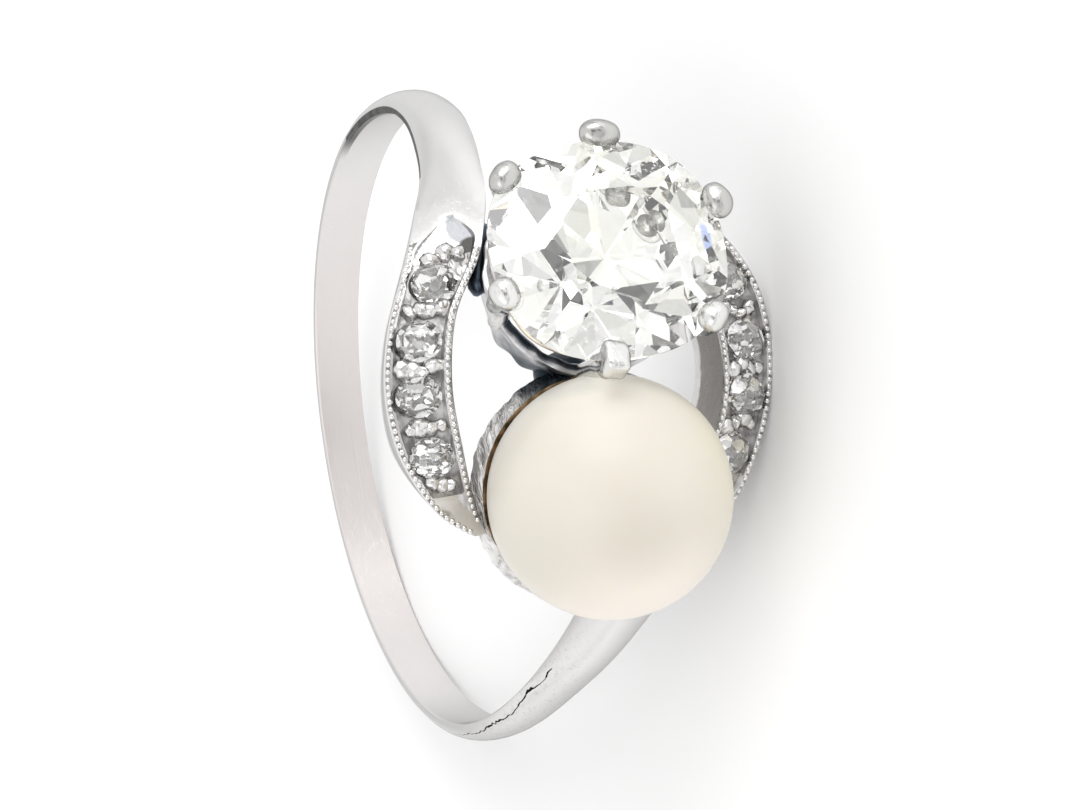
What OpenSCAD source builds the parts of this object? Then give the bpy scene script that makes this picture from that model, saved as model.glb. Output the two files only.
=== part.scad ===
// Ring with a pearl and an old-cut diamond, set across the finger between two crescent shoulders.
// It is drawn head up: Z points out through the head, X runs along the head from the pearl to the
// diamond, and Y is the axis of the finger. It is then laid on its side, as it rests on a table.
// The band is one half shape and the same shape turned half a turn about Z.

/* [Finger hole and shank] */
// Diameter of the finger hole
finger_d = 18.1; // [17.8:0.1:18.2]
// Width of the shank at the back
back_w = 1.36; // [1.2:0.02:2]
// Thickness of the shank at the back
back_t = 0.6; // [0.5:0.02:1.2]

/* [Pearl and cup] */
// Diameter of the pearl
pearl_d = 7; // [6.6:0.1:7.1]
// Distance of the pearl's centre from the middle of the head
pearl_x = 3.8; // [3.75:0.05:3.95]
// Height of the pearl's centre above the finger's axis
pearl_z = 12.64; // [12.6:0.02:12.8]
// Thickness of the cup's wall
cup_wall = 0.3; // [0.25:0.05:0.35]
// How far the cup's rim stays below the pearl's widest line
cup_drop = 1.9; // [1.6:0.1:2.2]

/* [Diamond] */
// Length of the diamond, along the finger
diamond_l = 7.05; // [6.8:0.05:7.1]
// Width of the diamond, along the head
diamond_w = 6.5; // [6.3:0.05:6.6]
// Height of the crown above the girdle
crown_h = 1.15; // [0.9:0.05:1.3]
// Depth of the pavilion below the girdle
pavilion_h = 2.85; // [2.6:0.05:3]
// Share of the diamond's width that the table takes
table_share = 0.48; // [0.4:0.02:0.6]
// Lean of the diamond away from the pearl
diamond_lean = 12; // [10:1:14]

/* [Claws] */
// Diameter of a claw's ball tip
claw_tip_d = 0.88; // [0.8:0.02:1]
// Diameter of a claw's stem
claw_stem_d = 0.6; // [0.5:0.02:0.7]

/* [Side stones] */
// Width of a side stone, across the crescent
side_stone_w = 1.34; // [1.1:0.02:1.4]
// Length of a side stone, along the crescent
side_stone_l = 1.2; // [1:0.02:1.26]
// Height of a side stone's dome above its girdle
side_dome_h = 0.4; // [0.3:0.02:0.5]
// Clearance between a stone and its seat
seat_gap = 0.04; // [0.03:0.01:0.06]

/* [Resting place] */
// Angle that the head tips up when the ring lies on its side
head_tip = 12.88; // [12:0.02:14]
// Roll about the head's own axis when the ring lies on its side
head_roll = 9.46; // [8:0.02:10]

/* [Hidden] */
$fn = 64;
finger_r = finger_d / 2;
pearl_r = pearl_d / 2;

// Sections of one half of the band, from the crescent's tip round to the back of the shank
ANGLE = 0;   // degrees from the head
OUT_Y = 1;   // place of the outer rim along the finger
OUT_R = 2;   // distance of the outer rim from the finger's axis
IN_Y = 3;    // place of the inner rim along the finger
IN_R = 4;    // distance of the inner rim from the finger's axis
RISE = 5;    // rise of the rounded face above its two rims
UNDER = 6;   // distance of the underside from the finger's axis
TUCK = 7;    // how far the outer wall leans in towards the underside
edge_r = finger_r + 0.12;
back_rise = finger_r + back_t - edge_r;
half_rows = [
    [-21.3, 3.80, 11.85, 3.35, 11.70, 0.00, 10.3, 0.05],
    [-17, 4.95, 11.80, 3.60, 11.50, 0.00, 9.8, 0.35],
    [-9, 5.80, 11.60, 3.95, 11.85, 0.00, 9.5, 0.5],
    [0, 5.95, 11.45, 4.11, 12.1, 0.00, 9.45, 0.55],
    [9, 5.55, 11.60, 3.70, 12.35, 0.00, 9.45, 0.5],
    [17, 4.78, 11.85, 2.60, 12.50, 0.00, 9.45, 0.35],
    [26, 3.84, 11.45, 1.75, 12.00, 0.15, 9.25, 0.3],
    [35, 2.92, 10.70, 1.16, 11.20, 0.40, 9.0, 0.4],
    [47, 2.17, 9.95, 0.45, 10.20, 0.60, 8.95, 0.5],
    [65, 1.38, 9.35, -0.32, 9.35, 0.52, 8.9, 0.35],
    [85, 0.90, edge_r, -0.72, edge_r, 0.48, 8.9, 0.05],
    [110, 0.74, edge_r, -0.74, edge_r, 0.48, 8.9, 0],
    [145, 0.70, edge_r, -0.70, edge_r, back_rise, 8.9, 0],
    [180, back_w / 2, edge_r, -back_w / 2, edge_r, back_rise, 8.9, 0]
];
steps_per_row = 5;

function mix(a, b, t) = a + (b - a) * t;
function unit(v) = v / norm(v);

// A place given by its angle from the head, its place along the finger and its distance from the axis
function at(angle, along, radius) = [radius * sin(angle), along, radius * cos(angle)];

// A smooth curve through the rows of a table
function smooth_row(rows, s) = let(
    last = len(rows) - 1,
    i = min(floor(s), last - 1),
    t = s - i,
    before = rows[max(i - 1, 0)],
    here = rows[i],
    next = rows[i + 1],
    after = rows[min(i + 2, last)]
) 0.5 * (2 * here + (next - before) * t
    + (2 * before - 5 * here + 4 * next - after) * t * t
    + (3 * here - before - 3 * next + after) * t * t * t);

half_steps = (len(half_rows) - 1) * steps_per_row;
fine_rows = [for (k = [0:half_steps]) smooth_row(half_rows, k / steps_per_row)];
step_of_angle = [for (k = [0:half_steps]) [fine_rows[k][ANGLE], k / steps_per_row]];
function row_at(angle) = smooth_row(half_rows, lookup(angle, step_of_angle));

// A place on the face of a section: t is 0 at the outer rim and 1 at the inner rim
function on_row(row, t, lift = 0) = at(
    row[ANGLE],
    mix(row[OUT_Y], row[IN_Y], t),
    mix(row[OUT_R], row[IN_R], t) + row[RISE] * sqrt(max(0, 4 * t * (1 - t))) + lift
);

// One section of the metal, as a closed ring of points
face_steps = 6;
wall_turn = 0.6;      // where the side walls turn, as a share of their height
inner_tuck = 0.3;     // lean of the inner wall, as a share of the outer wall's
function section(row) = concat(
    [
        at(row[ANGLE], row[IN_Y] + row[TUCK] * inner_tuck, row[UNDER]),
        at(row[ANGLE], row[OUT_Y] - row[TUCK], row[UNDER]),
        at(row[ANGLE], row[OUT_Y] - row[TUCK] * (1 - wall_turn), mix(row[UNDER], row[OUT_R], wall_turn))
    ],
    [for (k = [0:face_steps]) on_row(row, (1 - cos(180 * k / face_steps)) / 2)],
    [at(row[ANGLE], row[IN_Y], mix(row[UNDER], row[IN_R], wall_turn))]
);

// The same section in the other half, turned half a turn about the head's axis
function turned(points) = let(n = len(points)) [
    for (i = [0:n - 1]) let(p = points[(n + 1 - i) % n]) [-p.x, -p.y, p.z]
];

// A solid through a list of sections with equal numbers of points
module loft(sections) {
    rings = len(sections);
    n = len(sections[0]);
    sides = [
        for (j = [0:rings - 2]) for (i = [0:n - 1]) let(
            a = j * n + i,
            b = j * n + (i + 1) % n
        ) each [[a, b + n, b], [a, a + n, b + n]]
    ];
    start = [for (i = [0:n - 1]) i];
    end = [for (i = [n - 1:-1:0]) (rings - 1) * n + i];
    polyhedron(points = [for (s = sections) each s], faces = concat(sides, [start], [end]), convexity = 10);
}

module both_halves() {
    children();
    rotate([0, 0, 180]) children();
}

// Shank and crescents
half_sections = [for (row = fine_rows) section(row)];
module band() {
    loft(concat(half_sections, [for (k = [half_steps - 1:-1:0]) turned(half_sections[k])]));
}

hole_reach = 20;   // longer than the head is wide
module finger_hole() {
    rotate([90, 0, 0]) cylinder(r = finger_r, h = hole_reach, center = true);
}

// The channel between the two beaded rims of a crescent
rim_w = 0.24;
channel_depth = 0.2;
channel_over = 0.4;
channel_start = -15.5;
channel_end = 21;
channel_steps = 14;
function channel_section(angle) = let(
    row = row_at(angle),
    t = rim_w / norm(on_row(row, 0) - on_row(row, 1))
) [
    on_row(row, 1 - t, -channel_depth), on_row(row, t, -channel_depth),
    on_row(row, t, channel_over), on_row(row, 1 - t, channel_over)
];
module channel() {
    loft([for (k = [0:channel_steps]) channel_section(mix(channel_start, channel_end, k / channel_steps))]);
}

// A place on a crescent's middle line, with X along the crescent, Y across it and Z out of its face
seat_sink = 0.06;   // depth of a side stone's girdle below the face
module on_crescent(angle) {
    row = row_at(angle);
    place = on_row(row, 0.5, -seat_sink);
    across = unit(on_row(row, 1) - on_row(row, 0));
    ahead = on_row(row_at(angle + 1), 0.5) - on_row(row_at(angle - 1), 0.5);
    up = unit(cross(across, ahead));
    along = cross(up, across);
    multmatrix([
        [along.x, -across.x, up.x, place.x],
        [along.y, -across.y, up.y, place.y],
        [along.z, -across.z, up.z, place.z],
        [0, 0, 0, 1]
    ]) children();
}

// Side stones: rose cuts with a small table
STONE_ANGLE = 0;   // degrees from the head
STONE_SIZE = 1;    // share of the full size
stone_rows = [[14.1, 1], [6.6, 1], [-1, 1], [-9.7, 0.96]];
girdle_h = 0.12;
side_sides = 8;
side_base_h = 0.16;
side_base_share = 0.7;
side_belt_share = 0.72;
side_belt_rise = 0.62;
side_table_share = 0.3;
function oval(share, height, grow) = [
    for (i = [0:side_sides - 1]) let(a = (i + 0.5) * 360 / side_sides, r = 1 / cos(180 / side_sides)) [
        (side_stone_l / 2 * share + grow) * r * cos(a), (side_stone_w / 2 * share + grow) * r * sin(a), height
    ]
];
module rose_cut(grow) {
    loft([
        oval(side_base_share, -girdle_h - side_base_h - grow, grow),
        oval(1, -girdle_h, grow),
        oval(1, 0, grow),
        oval(side_belt_share, side_dome_h * side_belt_rise, grow),
        oval(side_table_share, side_dome_h + grow, grow)
    ]);
}
module side_stone(number, grow = 0) {
    stone = stone_rows[number % len(stone_rows)];
    rotate([0, 0, number < len(stone_rows) ? 0 : 180]) on_crescent(stone[STONE_ANGLE])
        scale(stone[STONE_SIZE]) rose_cut(grow);
}

// Grains of metal that hold the side stones, in pairs
GRAIN_ANGLE = 0;   // degrees from the head
GRAIN_OFF = 1;     // distance from the crescent's middle line
grain_rows = [[18.6, 0.32], [10.4, 0.32], [2.8, 0.32], [-5.3, 0.32], [-13.8, 0.18]];
grain_r = 0.17;
grain_sink = 0.06;
module grains() {
    both_halves() for (row = grain_rows) for (side = [-1, 1])
        on_crescent(row[GRAIN_ANGLE]) translate([0, side * row[GRAIN_OFF], -grain_sink])
            sphere(r = grain_r, $fn = 16);
}

// Diamond: an old cut with a table, 8 stars, 8 kites, 16 upper and 16 lower halves, 8 mains and a culet
diamond_place = [3, -0.3, 14.3];
star_drop = 0.4;
lower_half_share = 0.55;
culet_share = 0.09;
half_facet = 22.5;
module at_diamond() {
    translate(diamond_place) rotate([0, diamond_lean, 0]) children();
}
function diamond_ring(count, turn, share, height, grow) = [
    for (i = [0:count - 1]) let(a = turn + i * 360 / count) [
        (diamond_w / 2 * share + grow) * cos(a), (diamond_l / 2 * share + grow) * sin(a), height
    ]
];
module cut_diamond(grow = 0) {
    girdle_top = girdle_h / 2 + grow;
    star_share = mix(table_share, 1, star_drop) / cos(half_facet);
    lower_share = mix(1, culet_share, lower_half_share) / cos(half_facet);
    points = concat(
        diamond_ring(8, half_facet, table_share, girdle_top + crown_h, grow),
        diamond_ring(8, 0, star_share, girdle_top + crown_h * (1 - star_drop), grow),
        diamond_ring(16, 0, 1, girdle_top, grow),
        diamond_ring(16, 0, 1, -girdle_top, grow),
        diamond_ring(8, 0, lower_share, -girdle_top - pavilion_h * lower_half_share, grow),
        diamond_ring(8, 0, culet_share / cos(half_facet), -girdle_top - pavilion_h, grow)
    );
    // First point of each ring
    table = 0;
    star = 8;
    top = 16;
    bottom = 32;
    lower = 48;
    culet = 56;
    faces = concat(
        [[for (k = [7:-1:0]) table + k]],
        [for (k = [0:7]) each [
            [star + k, table + (k + 7) % 8, table + k],
            [table + k, star + (k + 1) % 8, top + 2 * k + 1, star + k],
            [top + 2 * k, top + (2 * k + 15) % 16, star + k],
            [top + 2 * k + 1, top + 2 * k, star + k],
            [bottom + (2 * k + 15) % 16, bottom + 2 * k, lower + k],
            [bottom + 2 * k, bottom + 2 * k + 1, lower + k],
            [lower + (k + 1) % 8, culet + (k + 1) % 8, culet + k, lower + k, bottom + 2 * k + 1]
        ]],
        [for (j = [0:15]) [top + (j + 1) % 16, bottom + (j + 1) % 16, bottom + j, top + j]],
        [[for (k = [0:7]) culet + k]]
    );
    polyhedron(points = points, faces = faces, convexity = 4);
}

// Claws: a straight stem that leans out with the collet, and a ball tip over the girdle
claw_angles = [-9, 46, 106, 168, 226, 286];
claw_base_r = 2.72;
claw_base_z = -2.9;
claw_head_z = 0.1;
claw_tip_z = 0.42;
claw_head_out = 0.2;    // distance of a claw's head outside the girdle
claw_tip_in = 0.08;     // how far its tip comes back in
claw_knuckle = 0.03;    // how much its head is thicker, and its neck thinner, than its stem
claw_neck_over = 0.1;
function girdle_r(a) = 1 / norm([cos(a) / (diamond_w / 2), sin(a) / (diamond_l / 2)]);
module rod(from, to, r) {
    run = to - from;
    translate(from) rotate([0, acos(run.z / norm(run)), atan2(run.y, run.x)]) cylinder(r = r, h = norm(run));
}
module claw(a) {
    head = [girdle_r(a) + claw_head_out, 0, claw_head_z];
    tip = [head.x - claw_tip_in, 0, claw_tip_z];
    rotate([0, 0, a]) {
        rod([claw_base_r, 0, claw_base_z], head, claw_stem_d / 2);
        translate(head) sphere(r = claw_stem_d / 2 + claw_knuckle);
        rod(head, tip + [0, 0, claw_neck_over], claw_stem_d / 2 - claw_knuckle);
        translate(tip) sphere(d = claw_tip_d);
    }
}
module claws() {
    at_diamond() for (a = claw_angles) claw(a);
}

// Collet: a cone with a thin rim under the girdle and an open gallery between them
collet_wall = 0.34;
collet_foot_z = -4.3;
collet_foot_r = 2.4;
collet_top_z = -2.3;
collet_top_r = 2.95;
rim_top_z = -0.28;
rim_r = 3.32;
rim_h = 0.36;
rim_flare = 0.1;
rim_wall = 0.3;
module collet() {
    at_diamond() rotate_extrude() {
        polygon([
            [collet_foot_r - collet_wall, collet_foot_z], [collet_foot_r, collet_foot_z],
            [collet_top_r, collet_top_z], [collet_top_r - collet_wall, collet_top_z]
        ]);
        polygon([
            [rim_r - rim_flare - rim_wall, rim_top_z - rim_h], [rim_r - rim_flare, rim_top_z - rim_h],
            [rim_r, rim_top_z], [rim_r - rim_wall, rim_top_z]
        ]);
    }
}

// Cup: a bowl under the pearl that leans towards the outside of the head
pearl_place = [-pearl_x, 0.15, pearl_z];
cup_lean = -16;
cup_r = pearl_r + seat_gap + cup_wall;
module cup() {
    translate(pearl_place) rotate([0, cup_lean, 0]) difference() {
        sphere(r = cup_r);
        translate([0, 0, -cup_drop]) cylinder(r = cup_r * 2, h = cup_r * 2);
    }
}

// Solder that joins the cup to the collet, and the collet to the crescent beside it
FROM = 0;   // middle of one end
TO = 1;     // middle of the other end
WIDE = 2;   // radius
solder_rows = [
    [[-1.6, 0.3, 10.3], [0.9, 0.2, 10.5], 0.75],
    [[3.6, -2.6, 11.2], [4.15, -3.4, 11.2], 0.4]
];
module solder() {
    for (row = solder_rows) rod(row[FROM], row[TO], row[WIDE]);
}

module ring_mount() {
    color("silver") difference() {
        union() {
            difference() {
                band();
                both_halves() channel();
            }
            grains();
            collet();
            claws();
            cup();
            solder();
        }
        finger_hole();
        translate(pearl_place) sphere(r = pearl_r + seat_gap);
        at_diamond() cut_diamond(seat_gap);
        for (number = [0:7]) side_stone(number, seat_gap);
    }
}
module diamond() {
    color("aliceblue") at_diamond() cut_diamond();
}
module pearl() {
    color("ivory") translate(pearl_place) sphere(r = pearl_r);
}
module small_stone(number) {
    color("lightcyan") side_stone(number);
}

// The ring on its side: it stands on the outer rim of one crescent and on the shank's lower edge
rest_angle = 1.8;   // where the crescent touches, in degrees from the head
rest_row = row_at(rest_angle);
crescent_rest = at(rest_row[ANGLE], rest_row[OUT_Y], rest_row[OUT_R]);
rest_out = crescent_rest.x * sin(head_roll) + crescent_rest.y * cos(head_roll);
rest_height = rest_out * cos(head_tip) - crescent_rest.z * sin(head_tip);
rest_place = [0, 3.254, rest_height];
module laid_down() {
    translate(rest_place) rotate([90 - head_tip, 0, 0]) rotate([0, 0, head_roll]) children();
}

// Without this turn the ring stands head up
lie_on_side = true;
module placed() {
    if (lie_on_side) laid_down() children();
    else children();
}

placed() ring_mount();
placed() diamond();
placed() pearl();
placed() small_stone(0);  // side_stone_1
placed() small_stone(1);  // side_stone_2
placed() small_stone(2);  // side_stone_3
placed() small_stone(3);  // side_stone_4
placed() small_stone(4);  // side_stone_5
placed() small_stone(5);  // side_stone_6
placed() small_stone(6);  // side_stone_7
placed() small_stone(7);  // side_stone_8
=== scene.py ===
"""Ring with a pearl and an old-cut diamond between two crescent shoulders, lying on its side.

Its pieces are drawn in millimetres with the head up: Z points out through the head, X runs along the head
from the pearl to the diamond, and Y is the axis of the finger. They are then laid down as the ring rests.
"""

import random
from collections import namedtuple
from math import acos, atan2, copysign, cos, degrees, hypot, pi, radians, sin, sqrt

import bmesh
import bpy
from mathutils import Matrix, Vector, noise


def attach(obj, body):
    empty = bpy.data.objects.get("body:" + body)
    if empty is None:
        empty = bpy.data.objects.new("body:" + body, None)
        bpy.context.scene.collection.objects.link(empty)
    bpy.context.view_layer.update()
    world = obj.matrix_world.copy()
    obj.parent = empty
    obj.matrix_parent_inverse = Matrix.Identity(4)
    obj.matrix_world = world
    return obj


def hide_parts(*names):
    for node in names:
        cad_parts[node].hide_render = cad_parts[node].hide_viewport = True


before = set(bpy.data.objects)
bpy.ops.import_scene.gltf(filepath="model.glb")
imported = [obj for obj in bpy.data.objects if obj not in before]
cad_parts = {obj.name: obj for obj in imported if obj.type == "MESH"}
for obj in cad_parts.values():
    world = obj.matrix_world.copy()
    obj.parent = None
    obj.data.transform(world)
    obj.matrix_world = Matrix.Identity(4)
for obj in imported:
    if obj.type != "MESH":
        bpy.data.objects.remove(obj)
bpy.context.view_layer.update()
scene = bpy.context.scene
dice = random.Random(7)


def rotation(angle, axis):
    return Matrix.Rotation(radians(angle), 4, axis)


def at(angle, along, radius):
    """A place by its angle from the head, its place along the finger and its distance from the axis."""
    turn = radians(angle)
    return Vector((radius * sin(turn), along, radius * cos(turn)))


# Places and sizes, in mm and degrees

MM = 0.001
HEAD_TIP, HEAD_ROLL = 12.88, 9.46
REST = Vector((0, 3.254, 3.191))
TURN = rotation(90 - HEAD_TIP, "X") @ rotation(HEAD_ROLL, "Z")
LAID_DOWN = Matrix.Scale(MM, 4) @ Matrix.Translation(REST) @ TURN

FINGER_R = 9.05
BACK_W, BACK_T = 1.36, 0.6
EDGE_R = FINGER_R + 0.12
BACK_RISE = FINGER_R + BACK_T - EDGE_R

# One section of half the band: the place of its outer and its inner rim, the rise of the face between them,
# the radius of the underside and how far the foot of the wall is tucked in
Row = namedtuple("Row", "angle out_y out_r in_y in_r rise under tuck")
HALF_ROWS = [
    Row(-21.3, 3.80, 11.85, 3.35, 11.70, 0, 10.3, 0.05),
    Row(-17, 4.95, 11.80, 3.60, 11.50, 0, 9.8, 0.35),
    Row(-9, 5.80, 11.60, 3.95, 11.85, 0, 9.5, 0.5),
    Row(0, 5.95, 11.45, 4.11, 12.1, 0, 9.45, 0.55),
    Row(9, 5.55, 11.60, 3.70, 12.35, 0, 9.45, 0.5),
    Row(17, 4.78, 11.85, 2.60, 12.50, 0, 9.45, 0.35),
    Row(26, 3.84, 11.45, 1.75, 12.00, 0.15, 9.25, 0.3),
    Row(35, 2.92, 10.70, 1.16, 11.20, 0.40, 9.0, 0.4),
    Row(47, 2.17, 9.95, 0.45, 10.20, 0.60, 8.95, 0.5),
    Row(65, 1.38, 9.35, -0.32, 9.35, 0.52, 8.9, 0.35),
    Row(85, 0.90, EDGE_R, -0.72, EDGE_R, 0.48, 8.9, 0.05),
    Row(110, 0.74, EDGE_R, -0.74, EDGE_R, 0.48, 8.9, 0),
    Row(145, 0.70, EDGE_R, -0.70, EDGE_R, BACK_RISE, 8.9, 0),
    Row(180, BACK_W / 2, EDGE_R, -BACK_W / 2, EDGE_R, BACK_RISE, 8.9, 0),
]
STEPS_PER_ROW = 14
RIM_W, RIM_EDGE_W = 0.24, 0.04
CHANNEL_DEPTH, CHANNEL_WALL_W = 0.2, 0.03

# Each row of four side stones: the angle of a stone and its size as a share of a full one
STONE_ROWS = [(14.1, 1), (6.6, 1), (-1, 1), (-9.7, 0.96)]
STONE_L, STONE_W, STONE_DOME, STONE_SINK = 1.2, 1.34, 0.4, 0.06

DIAMOND_L, DIAMOND_W, CROWN_H, PAVILION_H, TABLE = 7.05, 6.5, 1.15, 2.85, 0.48
GIRDLE_H = 0.05
CUSHION, OVAL = 2.35, 2
PEARL_R = 3.5
PEARL_PLACE = Vector((-3.8, 0.15, 12.64))
SOLDER_PLACE = Vector((0.2, 0.4, 10.8))
CRACK_MIDDLE = at(-70, 0, 9.6)
AT_DIAMOND = Matrix.Translation((3, -0.3, 14.3)) @ rotation(12, "Y")
AT_CUP = Matrix.Translation(PEARL_PLACE) @ rotation(-16, "Y")
TURNED = rotation(180, "Z")
HALVES = (Matrix.Identity(4), TURNED)


def mix(a, b, share):
    return a + (b - a) * share


def ease(low, high, value):
    """0 below low, 1 above high and a smooth step between them."""
    share = min(max((value - low) / (high - low), 0), 1)
    return share * share * (3 - 2 * share)


def smooth_row(place):
    """A smooth curve through the rows: place 0 is the first row and 1 the second."""
    last = len(HALF_ROWS) - 1
    i = min(int(place), last - 1)
    t = place - i
    near = [HALF_ROWS[min(max(k, 0), last)] for k in (i - 1, i, i + 1, i + 2)]
    return Row(*(
        0.5 * (2 * b + (c - a) * t + (2 * a - 5 * b + 4 * c - d) * t * t + (3 * b - a - 3 * c + d) * t**3)
        for a, b, c, d in zip(*near)
    ))


def row_at(angle):
    """The section at an angle, found by halving."""
    low, high = 0.0, len(HALF_ROWS) - 1.0
    while high - low > 1e-6:
        middle = (low + high) / 2
        if smooth_row(middle).angle < angle:
            low = middle
        else:
            high = middle
    return smooth_row(low)


def on_face(row, share, lift=0.0):
    """A place on the face of the band: share is 0 at the outer rim and 1 at the inner rim."""
    rise = row.rise * sqrt(max(0, 4 * share * (1 - share)))
    return at(row.angle, mix(row.out_y, row.in_y, share), mix(row.out_r, row.in_r, share) + rise + lift)


def face_width(row):
    return (on_face(row, 1) - on_face(row, 0)).length


def crescent_frame(angle, lift=0.0):
    """A frame on a crescent's middle line: X along it, Y across it and Z out of its face."""
    row = row_at(angle)
    across = (on_face(row, 1) - on_face(row, 0)).normalized()
    ahead = on_face(row_at(angle + 1), 0.5) - on_face(row_at(angle - 1), 0.5)
    up = across.cross(ahead).normalized()
    turn = Matrix((up.cross(across), -across, up)).transposed().to_4x4()
    return Matrix.Translation(on_face(row, 0.5, lift)) @ turn


# Mesh making


def add_object(name, data, place=Matrix.Identity(4)):
    thing = bpy.data.objects.new(name, data)
    thing.matrix_world = place
    scene.collection.objects.link(thing)
    return thing


def add_mesh(name, bm, materials):
    """Turns a mesh into an object of the scene."""
    mesh = bpy.data.meshes.new(name)
    bm.to_mesh(mesh)
    bm.free()
    for material in materials:
        mesh.materials.append(material)
    return add_object(name, mesh)


def turn_faces_out(bm):
    bmesh.ops.recalc_face_normals(bm, faces=bm.faces)


def piece(name, bm, materials, replaced, smooth_below=50):
    """Lays a mesh drawn head up down where it belongs, and makes it a piece of the ring."""
    turn_faces_out(bm)
    bm.transform(LAID_DOWN)
    for face in bm.faces:
        face.smooth = True
    for edge in bm.edges:
        edge.smooth = edge.calc_face_angle(0) < radians(smooth_below)
    thing = add_mesh(name, bm, materials)
    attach(thing, "root")
    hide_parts(replaced)


def sweep(bm, rings):
    """Extrudes a closed section from each place to the next, and gives the lines of corners along it."""
    corners = [bm.verts.new(p) for p in rings[0]]
    edges = [bm.edges.new(pair) for pair in zip(corners, corners[1:] + corners[:1])]
    bm.faces.new(corners)
    lines = [[v] for v in corners]
    for ring in rings[1:]:
        grown = bmesh.ops.extrude_edge_only(bm, edges=edges)["geom"]
        fresh = {v for v in grown if isinstance(v, bmesh.types.BMVert)}
        corners = [next(e.other_vert(v) for e in v.link_edges if e.other_vert(v) in fresh) for v in corners]
        edges = [e for e in grown if isinstance(e, bmesh.types.BMEdge) and fresh.issuperset(e.verts)]
        for line, corner, p in zip(lines, corners, ring):
            corner.co = p
            line.append(corner)
    bm.faces.new(corners)
    return lines


def circle(middle, ahead, radius, count=20):
    """The corners of a circle about a direction."""
    turn = ahead.to_track_quat("Z", "Y").to_matrix()
    return [
        middle + turn @ Vector((radius * cos(a), radius * sin(a), 0))
        for a in (2 * pi * k / count for k in range(count))
    ]


def spun(outline, steps):
    """A closed outline of (radius, height), spun about the Z axis."""
    bm = bmesh.new()
    corners = [bm.verts.new((r, 0, z)) for r, z in outline]
    edges = [bm.edges.new(pair) for pair in zip(corners, corners[1:] + corners[:1])]
    bmesh.ops.spin(bm, geom=corners + edges, axis=(0, 0, 1), angle=2 * pi, steps=steps, use_merge=True)
    return bm


CLEAR_R = FINGER_R + 0.02


def hammer(bm, depth, size, seed):
    """Moves the surface in and out like hammered metal, and keeps it out of the finger hole."""
    turn_faces_out(bm)
    bm.normal_update()
    for v in bm.verts:
        v.co += v.normal * depth * noise.noise(v.co / size + Vector((seed, 0, 0)))
    for v in bm.verts:
        out = hypot(v.co.x, v.co.z)
        if out < CLEAR_R:
            v.co.x *= CLEAR_R / out
            v.co.z *= CLEAR_R / out


def carved(bm, cutter, materials, inside):
    """Cuts one mesh out of another, and gives the faces of the cut the material called inside."""
    for face in cutter.faces:
        face.material_index = materials.index(inside)
    blanks = []
    for part in (bm, cutter):
        turn_faces_out(part)
        blanks.append(add_mesh("blank", part, materials))
    cut = blanks[0].modifiers.new("cut", "BOOLEAN")
    cut.operation = "DIFFERENCE"
    cut.solver = "EXACT"
    cut.material_mode = "INDEX"
    cut.object = blanks[1]
    graph = bpy.context.evaluated_depsgraph_get()
    result = bmesh.new()
    result.from_mesh(blanks[0].evaluated_get(graph).to_mesh())
    for blank in blanks:
        mesh = blank.data
        bpy.data.objects.remove(blank)
        bpy.data.meshes.remove(mesh)
    return result


# Shader maths


class Wire:
    """A value, colour or place on its way through a material. Arithmetic on it adds the nodes it needs."""

    def __init__(self, socket):
        self.socket = socket

    def node(self, kind, inputs, out=0, **settings):
        """Adds a node: its settings first, then the values or wires of its sockets."""
        tree = self.socket.id_data
        made = tree.nodes.new(kind)
        for key, value in settings.items():
            setattr(made, key, value)
        for key, value in inputs.items():
            if isinstance(value, Wire):
                tree.links.new(value.socket, made.inputs[key])
            else:
                made.inputs[key].default_value = value
        return Wire(made.outputs[out])

    def maths(self, operation, *others):
        return self.node("ShaderNodeMath", dict(enumerate((self, *others))), operation=operation)

    def __add__(self, other):
        return self.maths("ADD", other)

    def __sub__(self, other):
        return self.maths("SUBTRACT", other)

    def __rsub__(self, other):
        return self.node("ShaderNodeMath", {0: other, 1: self}, operation="SUBTRACT")

    def __mul__(self, other):
        return self.maths("MULTIPLY", other)

    def step(self, low, high):
        """0 below low, 1 above high and a smooth step between them."""
        values = {"Value": self, "From Min": low, "From Max": high}
        return self.node("ShaderNodeMapRange", values, interpolation_type="SMOOTHSTEP")

    def shade(self, dark, light):
        """This value from 0 to 1, as a colour between two colours, each a wire or three numbers."""
        dark, light = (tone if isinstance(tone, Wire) else (*tone, 1) for tone in (dark, light))
        return self.node("ShaderNodeMix", {"Factor": self, 6: dark, 7: light}, out=2, data_type="RGBA")

    def part(self, number):
        """The X, Y or Z of this place, for number 0, 1 or 2."""
        return self.node("ShaderNodeSeparateXYZ", {0: self}, out=number)

    def scaled(self, x, y, z):
        return self.node("ShaderNodeVectorMath", {0: self, 1: (x, y, z)}, operation="MULTIPLY")

    def streaked(self, turn, along, across):
        """This place turned, and scaled so that a pattern on it runs in streaks."""
        values = {"Vector": self, "Rotation": turn, "Scale": (along, across, across)}
        return self.node("ShaderNodeMapping", values)

    def away_from(self, place):
        return self.node("ShaderNodeVectorMath", {0: self, 1: tuple(place)}, out=1, operation="DISTANCE")

    def from_axis(self):
        """The distance of this place from the axis of the finger."""
        return self.scaled(1, 0, 1).away_from((0, 0, 0))

    def grain(self, size, detail=2.0, rough=0.5):
        """Noise between 0 and 1 with features of about this size in mm."""
        values = {"Vector": self, "Scale": 1 / size, "Detail": detail, "Roughness": rough}
        return self.node("ShaderNodeTexNoise", values)

    def cells(self, scale, **settings):
        """The distance to the nearest of many scattered points."""
        values = {"Vector": self, "Scale": scale, "Randomness": 1.0}
        return self.node("ShaderNodeTexVoronoi", values, **settings)


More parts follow.
